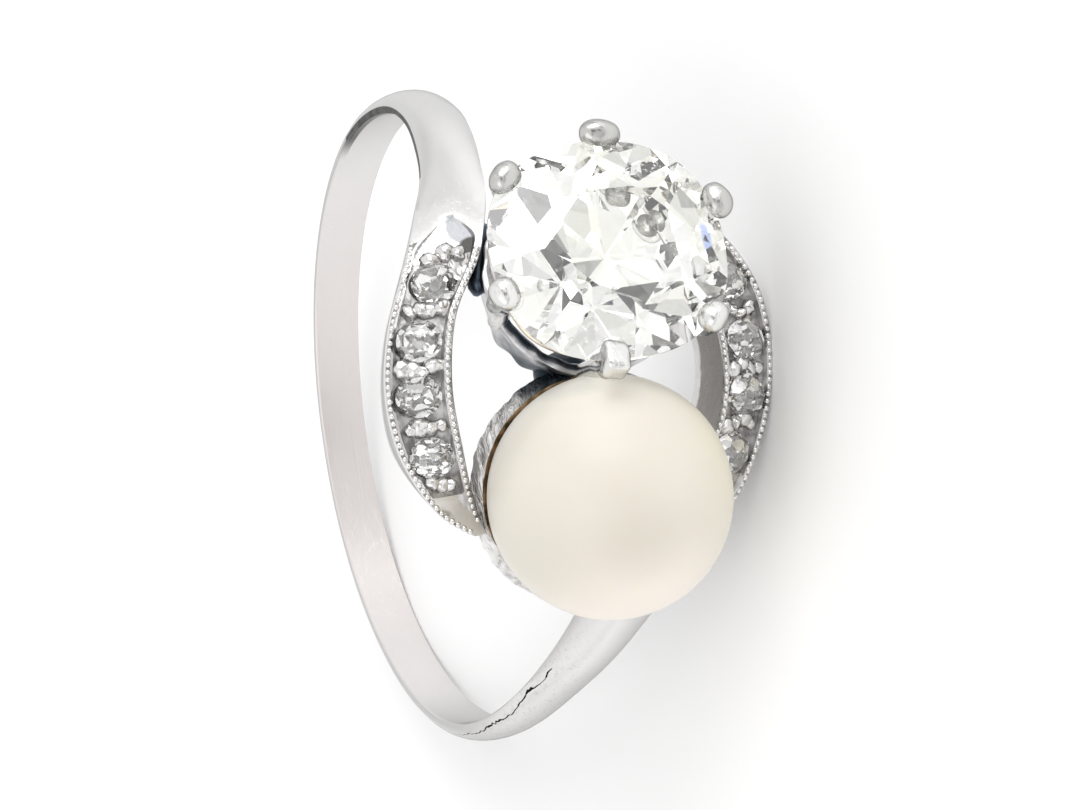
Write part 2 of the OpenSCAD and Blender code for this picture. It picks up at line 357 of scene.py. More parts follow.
def new_material(name, **fixed):
    """A material with its fixed values set, and the head-up place in mm as a wire."""
    material = bpy.data.materials.new(name)
    material.use_nodes = True
    tree = material.node_tree
    for key, value in fixed.items():
        tree.nodes["Principled BSDF"].inputs[key.replace("_", " ")].default_value = value
    object_place = Wire(tree.nodes.new("ShaderNodeTexCoord").outputs["Object"])
    back = TURN.inverted()
    stood_up = {"Location": -(back @ REST), "Rotation": back.to_euler(), "Scale": (1 / MM,) * 3}
    return material, object_place.node("ShaderNodeMapping", {"Vector": object_place, **stood_up})


def feed(material, **wires):
    """Runs each wire into the shader's input of that name, and gives the material back."""
    tree = material.node_tree
    for key, wire in wires.items():
        tree.links.new(wire.socket, tree.nodes["Principled BSDF"].inputs[key.replace("_", " ")])
    return material


def painted(base, *coats):
    """A colour with tones laid over it one after another, each as far as its wire says."""
    for share, tone in coats:
        base = share.shade(base, tone)
    return base


def dimmed(tone, share):
    return [value * share for value in tone]


def bumped(height, strength, reach):
    """A normal from a height between 0 and 1 that stands for reach mm."""
    return height.node("ShaderNodeBump", {"Height": height, "Strength": strength, "Distance": reach * MM})


def hairlines(here, turn, share):
    """Fine straight scratches along one direction, more of them with a higher share."""
    return here.streaked(turn, 0.35, 9).grain(1, 3, 0.6).step(0.60 - share, 0.66)


def crossed_hairlines(here, share):
    return hairlines(here, (0.3, 0.2, 0.9), share) + hairlines(here, (1.1, -0.6, 0.2), share - 0.02)


def turned_away(here, near, far):
    """0 where a surface faces the eye and 1 where it turns away from it."""
    return here.node("ShaderNodeLayerWeight", {"Blend": 0.5}, out=1).step(near, far)


# Metals

NEARLY_BLACK = (0.04, 0.04, 0.04)
# Blue-black of oxide, also painted shade where the parts meet around the solder
OXIDE_AND_SHADE_TONE = (0.035, 0.05, 0.065)


def white_metal(name, tone, polish, wear=0.5, edge=0.6):
    """Polished white precious metal with hairlines and small dents, with painted shade where it turns away
    from the eye.
    """
    material, here = new_material(name, Metallic=1.0)
    lines = crossed_hairlines(here, 0.02)
    cloud = here.grain(2.2, 3)
    dents = here.cells(1.4).step(0.16, 0.05)
    base = painted(
        cloud.shade(dimmed(tone, 0.93), tone),
        # painted shade: darker where the surface turns away from the eye, as far as edge says
        (turned_away(here, 0.3, 0.95) * edge, (0.09, 0.085, 0.08)),
    )
    return feed(
        material,
        Base_Color=base,
        Roughness=lines * (0.10 * wear) + cloud * (0.10 * wear) + polish,
        Normal=bumped(cloud * 0.5 + lines * 0.16 + dents * 0.25, 0.5 * wear, 0.05),
    )


def shank_metal(name):
    """Worn satin metal: pinker at the back and pitted about the crack, with painted shade where it turns away
    from the eye and a painted dark line of shade along a part of the hole's edge.
    """
    material, here = new_material(name, Metallic=1.0)
    across, along, out = (here.part(number) for number in range(3))
    angle = across.maths("ARCTAN2", out)
    radius = here.from_axis()
    lines = crossed_hairlines(here, 0.0)
    cloud = here.grain(2.6, 2)
    inside = radius.step(FINGER_R + 0.14, FINGER_R + 0.04)
    back = here.away_from((0, 0, -9.3)).step(11, 3)
    # where the painted dark line of shade along the hole's edge begins and ends, and how near the edge it
    # lies
    shade_line_begins = angle.step(radians(70), radians(76))
    shade_line_ends = angle.step(radians(115), radians(105))
    shade_line_at_edge = radius.step(FINGER_R + 0.2, FINGER_R + 0.1) * along.step(0.54, 0.58)
    pitted = (here.away_from(CRACK_MIDDLE) + cloud * 1.5).step(6.5, 3.0)
    pits = here.grain(0.13, 3, 0.7).step(0.52, 0.7) * pitted
    folds = here.streaked((0.2, 0.5, 0.7), 0.5, 2.4).grain(1, 2) * pitted
    base = painted(
        cloud.shade((0.78, 0.77, 0.765), (0.88, 0.87, 0.865)),
        # painted shade: a soft grey and a thin black line where the surface turns away from the eye
        (turned_away(here, 0.4, 0.95) * 0.55, (0.26, 0.255, 0.25)),
        (turned_away(here, 0.86, 0.99) * 0.8, NEARLY_BLACK),
        (back * inside * 0.7, (0.76, 0.70, 0.68)),
        (pits * 0.35, (0.42, 0.41, 0.40)),
        # the painted dark line of shade along the hole's edge
        (shade_line_begins * shade_line_ends * shade_line_at_edge * 0.9, NEARLY_BLACK),
    )
    return feed(
        material,
        Base_Color=base,
        Roughness=cloud * 0.08 + lines * 0.06 + pitted * 0.1 + 0.25,
        Normal=bumped(cloud * 0.4 + lines * 0.1 - pits * 0.3 + folds * 1.2, 0.35, 0.05),
    )


def recess_metal(name, tone, rough):
    """Metal in a recess, scraped by the graver and darker in random patches; some uses give it a dark tone
    that is painted shade.
    """
    material, here = new_material(name, Metallic=1.0)
    marks = hairlines(here, (0.1, 0.9, 0.5), 0.05)
    cloud = here.grain(0.35, 4)
    base = cloud.step(0.35, 0.7).shade(dimmed(tone, 0.35), tone)
    scraped = bumped(cloud + marks * 0.4, 0.7, 0.06)
    return feed(material, Base_Color=base, Roughness=cloud * 0.3 + rough, Normal=scraped)


def shaded_wall_metal(name):
    """The inner wall of a crescent, light at the foot and with a painted dark reflection above."""
    material, here = new_material(name, Metallic=1.0)
    cloud = here.grain(0.4, 4)
    # painted dark reflection above the foot of the wall
    base = (here.from_axis() + cloud * 0.4).step(10.25, 10.45).shade((0.72, 0.71, 0.70), (0.20, 0.185, 0.17))
    return feed(material, Base_Color=base, Roughness=cloud * 0.3 + 0.15, Normal=bumped(cloud, 0.3, 0.05))


def graver_metal(name):
    """The cut at the wide end of a channel: scratched metal, white in places, with a grey facet and a dark
    facet painted on as reflections.
    """
    material, here = new_material(name, Metallic=1.0)
    facet_place, dark_facet_squash = at(21.8, 2.72, 12.1), 0.6
    dark_facet_place = at(18.3, 2.62 * dark_facet_squash, 12.2)
    marks = here.streaked((0.3, -0.2, 0.75), 1.2, 11).grain(1, 2)
    cloud = here.grain(0.5, 2)
    # painted reflections: a grey facet, and a dark leaf-shaped facet
    grey = (here.away_from(facet_place) + cloud * 0.25).step(0.78, 0.62)
    dark_facet = (here.scaled(1, dark_facet_squash, 1).away_from(dark_facet_place) + cloud * 0.15).step(0.46, 0.36)
    base = painted(
        marks.step(0.35, 0.6).shade((0.62, 0.62, 0.62), (0.90, 0.90, 0.90)),
        (grey * 0.9, (0.22, 0.225, 0.24)),
        (dark_facet, (0.06, 0.058, 0.055)),
    )
    return feed(material, Base_Color=base, Roughness=marks * 0.2 + 0.16, Normal=bumped(marks, 0.4, 0.03))


def hammered_metal(name, tone, dark_near, dark_far, rough):
    """Metal left from the hammer, darkened around the solder with oxide and painted shade."""
    material, here = new_material(name, Metallic=1.0)
    facets = here.cells(2.4, feature="SMOOTH_F1")
    cloud = here.grain(0.5, 4)
    oxide_and_shade_share = (here.away_from(SOLDER_PLACE) + cloud * 1.2).step(dark_far, dark_near)
    return feed(
        material,
        Base_Color=painted(cloud.step(0.3, 0.75).shade(dimmed(tone, 0.72), tone), (oxide_and_shade_share, OXIDE_AND_SHADE_TONE)),
        Roughness=cloud * 0.2 + oxide_and_shade_share * 0.15 + rough,
        Normal=bumped(facets + cloud * 0.3, 0.6, 0.12),
    )


def cup_metal(name):
    """The outside of the cup: pale metal under short dark strokes, darkened beside the solder with oxide and
    painted shade.
    """
    material, here = new_material(name)
    cloud = here.grain(0.5, 4)
    strokes = here.streaked((0.5, 0.9, 0.3), 0.9, 4.5).grain(1, 3, 0.6)
    cut = strokes.step(0.47, 0.36)
    base = painted(
        cloud.step(0.3, 0.75).shade((0.80, 0.79, 0.78), (0.98, 0.975, 0.97)),
        (cut * 0.5, (0.42, 0.415, 0.41)),
        # oxide and painted shade beside the solder
        ((here.away_from(SOLDER_PLACE) + cloud * 1.2).step(3.2, 1.8), OXIDE_AND_SHADE_TONE),
    )
    return feed(
        material,
        Base_Color=base,
        Metallic=cut * 0.3 + 0.55,
        Roughness=cloud * 0.2 + 0.28,
        Normal=bumped(strokes.step(0.3, 0.6) + cloud * 0.3, 0.9, 0.09),
    )


SHANK = shank_metal("satin_white_metal")
# One claw metal in three tones: painted shade on the tips on one side, painted light on the other tips and on
# the stems
SHADED_CLAW = white_metal("claw_metal_painted_shade", (0.62, 0.615, 0.60), 0.16, wear=0.9, edge=0.95)
LIT_CLAW = white_metal("claw_metal_painted_light", (0.84, 0.835, 0.82), 0.14, wear=0.9, edge=0.85)
LIT_STEM = white_metal("claw_stem_metal_painted_light", (0.93, 0.925, 0.91), 0.2, wear=0.6, edge=0.35)
BRIGHT = white_metal("bead_metal", (0.88, 0.87, 0.86), 0.1, wear=0.3, edge=0.5)
GRAIN = white_metal("grain_metal", (0.80, 0.79, 0.78), 0.12, wear=0.8, edge=0.9)
GRAVER = graver_metal("graver_cut")
CHANNEL = recess_metal("channel_floor", (0.68, 0.67, 0.66), 0.2)
SEAT = recess_metal("stone_seat", (0.80, 0.78, 0.76), 0.15)
SHADED_WALL = shaded_wall_metal("inner_wall_painted_shade")
GROOVE = recess_metal("bead_groove", (0.76, 0.75, 0.74), 0.25)
# A dark line painted as shade along the edge between the outer wall and the face
PAINTED_SHADE_LINE = recess_metal("painted_shade_edge_line", (0.13, 0.127, 0.124), 0.35)
CRACK = recess_metal("crack_edge", (0.03, 0.028, 0.026), 0.6)
COLLET_METAL = hammered_metal("collet_metal", (0.76, 0.75, 0.77), 1.5, 3.2, 0.16)
CUP_METAL = cup_metal("cup_metal")
WARM = white_metal("warm_rim_metal", (0.78, 0.66, 0.50), 0.16)
# Golden metal inside the cup; its thin visible edge also stands for the shadow line between cup and pearl, as
# painted shade
CUP_INSIDE = recess_metal("cup_inside", (0.85, 0.62, 0.38), 0.3)
LINING = recess_metal("collet_lining", (0.97, 0.965, 0.95), 0.25)
# Dark oxidised metal of the solder runs, also the painted shadow on the outside of the plate behind the
# gallery
SOLDER_AND_SHADOW = hammered_metal("oxidised_solder_and_painted_shadow", (0.10, 0.13, 0.17), 1.0, 4.0, 0.2)


# Band: shank and crescents

# The lines of corners along the band, as numbered by band_section
OUTER_WALL, INNER_WALL = (5, 6, 7), (21, 22, 0)
OUTER_RIM, INNER_RIM = (8, 9, 10), (18, 19, 20)
CHANNEL_FLOOR = (12, 13, 14, 15, 16)
THIN_EDGE, WIDE_EDGE = (7, 8), (4, 5, 6, 7, 8)
SPANS = (OUTER_WALL, INNER_WALL, OUTER_RIM, INNER_RIM, CHANNEL_FLOOR, THIN_EDGE, WIDE_EDGE)
# The corner of the turned half that corner 0 runs on into
TURNED_START = 5
FOOT_SOFT, FOOT_FLAT, RIM_DROP, THIN_SHARE = 0.08, 0.06, 0.05, 0.3

# Angles from the head where something starts and ends along a crescent
TIP_OPENS, LIPS_PART, CHANNEL_SHALLOWS, FACE_ROUNDS = (-18.5, -15.3), (25.0, 19.0), (24.5, 18.3), (23.5, 30)
CHANNEL_SPAN, GRAVER_FROM = (-15.3, 24.2), 17.6
OUTER_GROOVE, INNER_GROOVE = (-20.6, 20.6), (-19.4, 17.4)
OUTER_BEADS, INNER_BEADS = (-20.6, 21.0), (-19.4, 17.6)
# Where the inner walls of the crescents get a painted dark reflection
PAINTED_SHADE_WALL = (-90, 21)
# Where the painted shade line runs along the outer edge of one half, and where it runs wider
PAINTED_SHADE_EDGE, WIDE_PAINTED_SHADE_EDGE = (36, 108), (74, 100)

BAND_METALS = [SHANK, CHANNEL, SEAT, CRACK, SHADED_WALL, GRAVER, GROOVE, PAINTED_SHADE_LINE]


def band_section(row):
    """The corners of the band's section: underside, outer wall, face with its channel, and inner wall."""
    width = face_width(row)
    opened = ease(*CHANNEL_SHALLOWS, row.angle) * ease(*TIP_OPENS, row.angle)
    rounded = ease(*FACE_ROUNDS, row.angle)
    edge, lip = RIM_EDGE_W / width, min(RIM_W / width, 0.4)
    lip = mix(0.47, lip, ease(*LIPS_PART, row.angle))
    wall = min(CHANNEL_WALL_W / width, (0.5 - lip) * 0.6)
    cut = [edge, lip * 0.35, lip * 0.7, lip, lip + wall, mix(lip + wall, 0.5, 0.5)]
    cut = cut + [0.5] + [1 - share for share in reversed(cut)]
    depths = [0, 0, 0, 0, 1, 1, 1, 1, 1, 0, 0, 0, 0]
    face = []
    for k, (share, deep) in enumerate(zip(cut, depths)):
        even = (1 - cos(pi * mix(0.06, 0.94, k / (len(cut) - 1)))) / 2
        face.append(on_face(row, mix(share, even, rounded), -deep * CHANNEL_DEPTH * opened))
    foot = max(row.under, FINGER_R)
    in_foot, out_foot = row.in_y + row.tuck * 0.3, row.out_y - row.tuck
    soft, drop = (min(size, (row.out_r - foot) * THIN_SHARE) for size in (FOOT_SOFT, RIM_DROP))
    flat = soft + FOOT_FLAT
    return [
        at(row.angle, in_foot, foot + soft),
        at(row.angle, in_foot + soft, foot),
        at(row.angle, in_foot + flat, foot),
        at(row.angle, out_foot - flat, foot),
        at(row.angle, out_foot - soft, foot),
        at(row.angle, out_foot, foot + soft),
        at(row.angle, row.out_y - row.tuck * 0.4, mix(foot, row.out_r, 0.6)),
        at(row.angle, row.out_y, row.out_r - drop),
        *face,
        at(row.angle, row.in_y, row.in_r - drop),
        at(row.angle, row.in_y, mix(foot, row.in_r, 0.6)),
    ]


def within(span, angle):
    return span[0] < angle < span[1]


def face_metal(angle, ahead, on):
    """The metal of a face of the band, by its angle from the head, its half and the spans it lies on."""
    outer, inner, wall = (OUTER_RIM, INNER_RIM, INNER_WALL) if ahead else (INNER_RIM, OUTER_RIM, OUTER_WALL)
    # the painted shade line along the outer edge, on one half only
    edge = WIDE_EDGE if within(WIDE_PAINTED_SHADE_EDGE, angle) else THIN_EDGE
    if ahead and edge in on and within(PAINTED_SHADE_EDGE, angle):
        return PAINTED_SHADE_LINE
    if (outer in on and within(OUTER_GROOVE, angle)) or (inner in on and within(INNER_GROOVE, angle)):
        return GROOVE
    if CHANNEL_FLOOR in on and within(CHANNEL_SPAN, angle):
        return CHANNEL if angle < GRAVER_FROM else GRAVER
    if wall in on and within(PAINTED_SHADE_WALL, angle):
        return SHADED_WALL
    return SHANK


def make_band():
    """The shank with a crescent at each end: one half, and the same half turned about."""
    bm = bmesh.new()
    steps = STEPS_PER_ROW * (len(HALF_ROWS) - 1)
    half = [band_section(smooth_row(k / STEPS_PER_ROW)) for k in range(steps + 1)]
    count = len(half[0])
    order = [(TURNED_START - i) % count for i in range(count)]
    other = [[TURNED @ ring[i] for i in order] for ring in reversed(half[:-1])]
    lines = sweep(bm, half + other)
    corners = {span: {v for i in span for v in lines[i]} for span in SPANS}
    for face in bm.faces:
        middle = face.calc_center_median()
        ahead = middle.y > 0
        angle = degrees(atan2(middle.x, middle.z)) * (1 if ahead else -1)
        on = [span for span in SPANS if corners[span].issuperset(face.verts)]
        face.material_index = BAND_METALS.index(face_metal(angle, ahead, on))
    return bm


SEAT_CLEARANCE, SEAT_DROP = 0.05, 0.36
SEAT_CONE = {"radius1": 0.6, "radius2": 1.07, "depth": 0.9, "cap_ends": True}


def make_pockets():
    """The seats under the side stones."""
    bm = bmesh.new()
    for half in HALVES:
        for angle, size in STONE_ROWS:
            length, width = (size * full / 2 + SEAT_CLEARANCE for full in (STONE_L, STONE_W))
            place = half @ crescent_frame(angle, -SEAT_DROP) @ Matrix.Diagonal((length, width, 1, 1))
            bmesh.ops.create_cone(bm, segments=28, matrix=place, **SEAT_CONE)
    return bm


# Each graver cut: where it lies on the crescent, its turn, half its length and width, and its depth
Cut = namedtuple("Cut", "angle across turn long wide deep")
BRIGHT_CUTS = [
    Cut(21.3, 0.12, 18, 0.86, 0.62, 0.22),
    Cut(18.9, -0.62, -34, 0.5, 0.26, 0.24),
    Cut(19.4, 0.72, 30, 0.55, 0.2, 0.14),
]
CUT_TOP = 0.1


def make_bright_cuts():
    """The flat facets that the graver left where the channel runs out."""
    bm = bmesh.new()
    for half in HALVES:
        for cut in BRIGHT_CUTS:
            middle = Matrix.Translation((0, cut.across, CUT_TOP - cut.deep / 2))
            shape = rotation(cut.turn, "Z") @ Matrix.Diagonal((cut.long, cut.wide, 1, 1))
            place = half @ crescent_frame(cut.angle) @ middle @ shape
            bmesh.ops.create_cone(
                bm, segments=4, radius1=0.02, radius2=1, depth=cut.deep, cap_ends=True, matrix=place
            )
    return bm


# The crack's way over the shank, as angle from the head and place along the finger
CRACK_PATH = [
    (-101, 0.68), (-97.4, 0.66), (-93.5, 0.70), (-89.4, 0.66), (-82.5, 0.64), (-78.0, 0.57), (-73.1, 0.42),
    (-69.2, 0.39), (-65.9, 0.33), (-63.9, 0.27), (-61.2, 0.16), (-58.8, 0.08), (-56.4, -0.01),
]
CRACK_STEP, CRACK_JAG, CALM_FROM = 0.8, 0.022, -70
CRACK_HALF_W, CRACK_LEAST_W = 0.026, 0.003
CRACK_TOP_R, CRACK_FOOT_R, CRACK_RISE, CRACK_SHALLOWS = 10.1, FINGER_R + 0.22, 0.3, (-66, -56.4)


def make_crack():
    """A hairline that wanders across the shank, where it has cracked."""
    bm = bmesh.new()
    path = []
    for (angle, along), (next_angle, next_along) in zip(CRACK_PATH, CRACK_PATH[1:]):
        pieces = max(1, round(abs(next_angle - angle) / CRACK_STEP))
        calm = 0.5 if angle > CALM_FROM else 1
        for k in range(pieces):
            share = k / pieces
            jag = dice.uniform(-CRACK_JAG, CRACK_JAG) * calm if k else 0
            path.append((mix(angle, next_angle, share), mix(along, next_along, share) + jag))
    path.append(CRACK_PATH[-1])
    rings = []
    for k, (angle, along) in enumerate(path):
        bottom = CRACK_FOOT_R + CRACK_RISE * ease(*CRACK_SHALLOWS, angle)
        tapered = sin(pi * (k + 0.8) / (len(path) + 0.6))
        half = CRACK_HALF_W * tapered * dice.uniform(0.6, 1.25) + CRACK_LEAST_W
        rings.append([
            at(angle, along - half * 0.4, bottom), at(angle, along + half * 0.4, bottom),
            at(angle, along + half, CRACK_TOP_R), at(angle, along - half, CRACK_TOP_R),
        ])
    sweep(bm, rings)
    return bm


band = carved(make_band(), make_bright_cuts(), BAND_METALS, GRAVER)
band = carved(band, make_pockets(), BAND_METALS, SEAT)
band = carved(band, make_crack(), BAND_METALS, CRACK)
piece("shank_and_crescents", band, BAND_METALS, "ring_mount", smooth_below=36)

BEAD_R, BEAD_GAP, BEAD_SINK = 0.1, 0.205, 0.045
BEAD_SHARE = 0.52


def make_beads():
    """The fine beads along both rims of each crescent, set one by one as the rim runs on."""
    bm = bmesh.new()
    for on_outer, (first, last) in ((True, OUTER_BEADS), (False, INNER_BEADS)):
        angle, before = first, None
        while angle < last:
            row = row_at(angle)
            share = BEAD_SHARE * RIM_W / face_width(row)
            place = on_face(row, share if on_outer else 1 - share, -BEAD_SINK)
            if before is None or (place - before).length >= BEAD_GAP:
                before = place
                size = BEAD_R * dice.uniform(0.86, 1.1)
                for half in HALVES:
                    middle = half @ Matrix.Translation(place)
                    bmesh.ops.create_icosphere(bm, subdivisions=2, radius=size, matrix=middle)
            angle += 0.05
    return bm


# Each cross row of grains: its angle, how far it reaches to either side and how many grains it has
GRAIN_ROWS = [(18.3, 0.44, 3), (10.4, 0.46, 4), (2.8, 0.46, 4), (-5.3, 0.44, 4), (-13.7, 0.26, 3)]
GRAIN_SIZES = (0.2, 0.24, 0.28)
GRAIN_TOP = 0.07


def make_grains():
    """The worked lumps of metal between the side stones that hold them down."""
    bm = bmesh.new()
    for half in HALVES:
        for angle, reach, count in GRAIN_ROWS:
            for k in range(count):
                off = mix(-reach, reach, k / (count - 1)) + dice.uniform(-0.04, 0.04)
                size = dice.choice(GRAIN_SIZES)
                frame_here = half @ crescent_frame(angle + dice.uniform(-0.5, 0.5))
                place = frame_here @ Matrix.Translation((0, off, GRAIN_TOP - size))
                turn = Matrix.Rotation(dice.uniform(0, 3), 4, "Z")
                shape = turn @ Matrix.Diagonal((dice.uniform(0.8, 1.25), dice.uniform(0.8, 1.2), 1.0, 1))
                bmesh.ops.create_icosphere(bm, subdivisions=3, radius=size, matrix=place @ shape)
    hammer(bm, depth=0.07, size=0.15, seed=23)
    return bm


piece("rim_beads", make_beads(), [BRIGHT], "ring_mount")
piece("stone_grains", make_grains(), [GRAIN], "ring_mount")


# Settings: collet, claws, cup and solder

# Outlines are pairs of radius and height from the diamond's girdle. The radii of the rim and the gallery
# are shares of the diamond's outline.
COLLET_OUTLINE = [
    (2.40, -4.3), (2.46, -4.0), (2.58, -3.5), (2.74, -3.0), (2.88, -2.6), (2.95, -2.36), (2.88, -2.3),
    (2.72, -2.3), (2.61, -2.36), (2.50, -2.7), (2.34, -3.2), (2.18, -3.8), (2.06, -4.3),
]
COLLET_RIM_OUTLINE = [
    (0.97, -0.90), (0.99, -0.80), (1, -0.66), (0.985, -0.60), (0.965, -0.62), (0.95, -0.76), (0.945, -0.90),
]
GALLERY_OUTLINE = [(0.30, -2.55), (0.89, -0.66), (0.91, -0.74), (0.34, -2.62)]
GALLERY_FROM, GALLERY_TO = 82, 228
INNER_SLOPE, INNER_MOUTH_R, MOUTH_Z = 0.27, 2.52, -2.3
RIM_INSET = 0.27


def make_collet():
    """The cone under the diamond, bright inside and hammered outside."""
    bm = spun(COLLET_OUTLINE, 128)
    for face in bm.faces:
        middle = face.calc_center_median()
        if hypot(middle.x, middle.y) < INNER_MOUTH_R + (middle.z - MOUTH_Z) * INNER_SLOPE:
            face.material_index = 1
    bm.transform(AT_DIAMOND)
    hammer(bm, depth=0.10, size=0.55, seed=3)
    return bm


def outline_r(azimuth, power=CUSHION):
    """Distance from the middle to the diamond's cushion-shaped girdle, or to the oval of the claws."""
    turn = radians(azimuth)
    x, y = abs(cos(turn)) / (DIAMOND_W / 2), abs(sin(turn)) / (DIAMOND_L / 2)
    return (x**power + y**power) ** (-1 / power)


def cushioned(bm, inset):
    """Gives a round mesh of radius 1 the outline of the diamond, less an inset."""
    for v in bm.verts:
        swell = outline_r(degrees(atan2(v.co.y, v.co.x))) - inset
        v.co.x *= swell
        v.co.y *= swell


def make_collet_rim():
    """The thin gallery under the girdle, which follows the outline of the diamond."""
    bm = spun(COLLET_RIM_OUTLINE, 128)
    cushioned(bm, RIM_INSET)
    bm.transform(AT_DIAMOND)
    hammer(bm, depth=0.03, size=0.6, seed=5)
    return bm


def make_shadow_plate():
    """A plate behind the open gallery on one side, put there as a painted shadow: bright towards the stone
    and dark outside.
    """
    bm = bmesh.new()
    rings = []
    for azimuth in range(GALLERY_FROM, GALLERY_TO, 4):
        turn = rotation(azimuth, "Z")
        rings.append([turn @ Vector((r, 0, z)) for r, z in GALLERY_OUTLINE])
    sweep(bm, rings)
    cushioned(bm, 0)
    turn_faces_out(bm)
    for face in bm.faces:
        # the dark outside faces are the painted shadow
        face.material_index = 1 if face.normal.z < 0.3 else 0
    bm.transform(AT_DIAMOND)
    return bm


# Each claw: its azimuth, how far its neck stands off the oval, the height of its tip, half the tip's length
# and width, and the power that makes the tip rounder towards 1 and blunter towards 0
Claw = namedtuple("Claw", "azimuth out tip radial across square")
CLAWS = [
    Claw(-9, 0.30, 0.14, 0.42, 0.60, 0.95),
    Claw(46, 0.26, 0.16, 0.42, 0.53, 0.95),
    Claw(106, 0.20, 0.38, 0.42, 0.50, 0.9),
    Claw(168, 0.20, 0.36, 0.50, 0.40, 0.5),
    Claw(226, 0.20, 0.38, 0.41, 0.47, 0.9),
    Claw(286, 0.28, 0.16, 0.42, 0.54, 0.95),
]
STEM_PATH = [(2.66, -3.1, 0.24), (2.72, -2.9, 0.28), (2.9, -2.0, 0.29), (3.1, -1.1, 0.29)]
STEM_TOP, TIP_H, TIP_LEAN, TIP_BUMPS = -0.55, 0.4, -18, 0.07


def add_claw_stem(bm, claw, place, out):
    """A stem that leans out with the collet, and its bent neck. Its path has radius, height and thickness."""
    path = [*STEM_PATH, (out - 0.06, -0.4, 0.29), (out, claw.tip - 0.35, 0.30)]
    path += [(out - 0.02, claw.tip - 0.15, 0.29), (out - 0.07, claw.tip, 0.27)]
    rings = []
    for k, (r, z, thick) in enumerate(path):
        before, after = path[max(k - 1, 0)], path[min(k + 1, len(path) - 1)]
        ahead = Vector((after[0] - before[0], 0, after[1] - before[1])).normalized()
        rings.append([place @ p for p in circle(Vector((r, 0, z)), ahead, thick)])
    sweep(bm, rings)


def add_claw_tip(bm, claw, place, out):
    """A tip worked over the girdle, blunt or round and a little uneven."""
    made = bmesh.ops.create_uvsphere(bm, u_segments=40, v_segments=28, radius=1)["verts"]
    tip = place @ Matrix.Translation((out - 0.08, 0, claw.tip)) @ rotation(TIP_LEAN, "Y")
    for v in made:
        v.co = Vector([copysign(abs(c) ** claw.square, c) for c in v.co])
        v.co *= 1 + TIP_BUMPS * noise.noise(v.co * 1.1 + Vector((claw.azimuth, 0, 0)))
        v.co = tip @ Vector((v.co.x * claw.radial, v.co.y * claw.across, v.co.z * TIP_H))


def make_claws():
    """Six claws in three tones of one metal: the stems and the tips on one side of the diamond with painted
    light, and the tips on the other side with painted shade.
    """
    bm = bmesh.new()
    for claw in CLAWS:
        place = AT_DIAMOND @ rotation(claw.azimuth, "Z")
        out = outline_r(claw.azimuth, OVAL) + claw.out
        add_claw_stem(bm, claw, place, out)
        add_claw_tip(bm, claw, place, out)
    under = AT_DIAMOND.inverted()
    for face in bm.faces:
        middle = under @ face.calc_center_median()
        # stems get painted light; tips on the pearl's side painted light, the others painted shade
        if middle.z < STEM_TOP:
            face.material_index = 1
        elif middle.x < 0:
            face.material_index = 2
    return bm


CUP_OUTER_R, CUP_INNER_R, CUP_RIM_Z, CUP_FLARE = 3.84, 3.56, -1.82, 0.22
CUP_BOTTOM, CUP_FLARES, CUP_TOP = 2, 25, 58
KNIFE_EDGE, PEARL_CLEARANCE = 0.03, 0.03


def make_cup():
    """A thin bowl under the pearl, hammered outside and brought in to a knife edge against the pearl."""
    bottom, flares, top = (radians(angle) for angle in (CUP_BOTTOM, CUP_FLARES, CUP_TOP))
    outline = []
    for k in range(31):
        turn = mix(bottom, top, k / 30)
        reach = CUP_OUTER_R + CUP_FLARE * ease(flares, top, turn)
        outline.append((reach * sin(turn), -reach * cos(turn)))
    edge_r = sqrt(CUP_INNER_R**2 - CUP_RIM_Z**2) + 0.06
    last_r, last_z = outline[-1]
    for k in range(1, 7):
        swell = 0.05 * sin(pi * k / 6)
        outline.append((mix(last_r, edge_r + 0.05, k / 6), mix(last_z, CUP_RIM_Z, k / 6) + swell))
    outline.append((edge_r, CUP_RIM_Z - KNIFE_EDGE))
    inner_top = acos(-CUP_RIM_Z / CUP_INNER_R) - 0.12
    for k in range(21):
        turn = mix(inner_top, bottom, k / 20)
        outline.append((CUP_INNER_R * sin(turn), -CUP_INNER_R * cos(turn)))
    bm = spun(outline, 160)
    turn_faces_out(bm)
    for face in bm.faces:
        middle = face.calc_center_median()
        if middle.length < CUP_INNER_R + 0.14 and face.normal.dot(middle) < 0:
            face.material_index = 1
    bm.transform(AT_CUP)
    hammer(bm, depth=0.08, size=0.3, seed=11)
    for v in bm.verts:
        away = v.co - PEARL_PLACE
        if away.length < PEARL_R + PEARL_CLEARANCE:
            v.co = PEARL_PLACE + away.normalized() * (PEARL_R + PEARL_CLEARANCE)
    return bm


SolderRun = namedtuple("SolderRun", "start end thick")
SOLDER_RUNS = [
    SolderRun((-1.7, 0.3, 10.25), (0.6, 0.2, 10.5), 0.8),
    SolderRun((3.55, -2.5, 11.2), (4.2, -3.45, 11.2), 0.42),
    SolderRun((2.5, 2.66, 11.15), (4.5, 2.1, 11.3), 0.34),
]


def make_solder():
    """The runs of solder between the cup, the collet and the crescents."""
    bm = bmesh.new()
    for run in SOLDER_RUNS:
        start, end = Vector(run.start), Vector(run.end)
        rings = []
        for k in range(17):
            share = k / 16
            swell = sqrt(max(0.02, 1 - (2 * share - 1) ** 4)) * (1 + 0.15 * cos(6 * share))
            rings.append(circle(start.lerp(end, share), end - start, run.thick * swell, 28))
        sweep(bm, rings)
    hammer(bm, depth=0.12, size=0.7, seed=17)
    return bm


